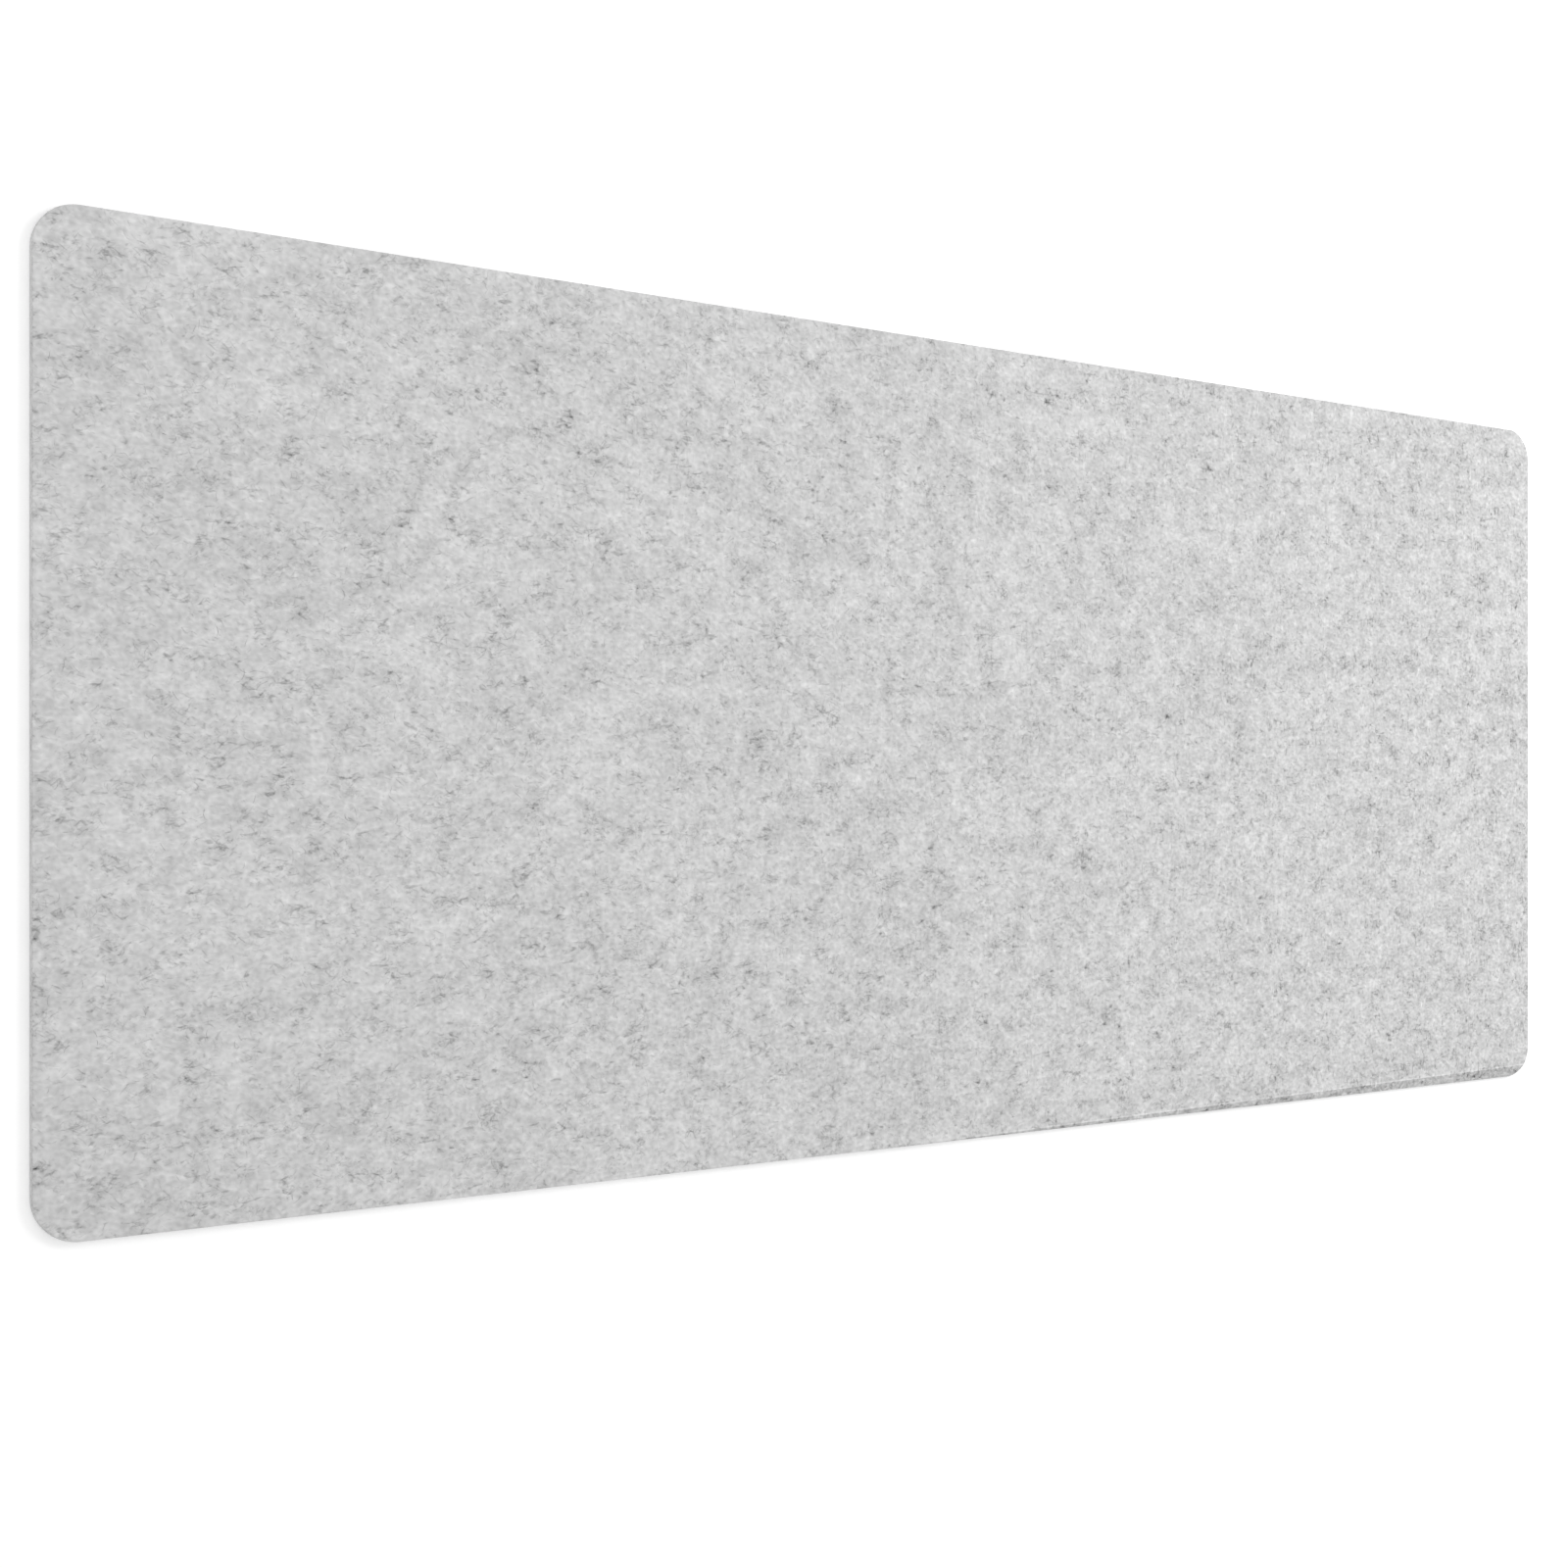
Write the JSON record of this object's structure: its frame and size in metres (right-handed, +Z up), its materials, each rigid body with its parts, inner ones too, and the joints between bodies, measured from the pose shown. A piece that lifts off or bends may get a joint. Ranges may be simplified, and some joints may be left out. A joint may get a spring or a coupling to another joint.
{
  "type": "desk mat",
  "caption": "Flat rectangular desk mat with rounded corners: a light grey melange felt sheet bonded to a thin non-slip rubber backing.",
  "frame": {"origin": "centre of the underside, where the mat rests on the desk", "axes": "+X along the mat's length to the user's right, +Y across its width away from the user, +Z up out of the felt face"},
  "size_m": [0.9, 0.4, 0.004],
  "materials": {
    "felt": "matte melange needle felt, light grey",
    "adhesive": "translucent milky hot-melt web",
    "backing": "matte grey non-slip rubber with moulded dots"
  },
  "bodies": {
    "root": {"felt_sheet": "felt", "adhesive_web": "adhesive", "non_slip_backing": "backing"}
  },
  "joints": []
}
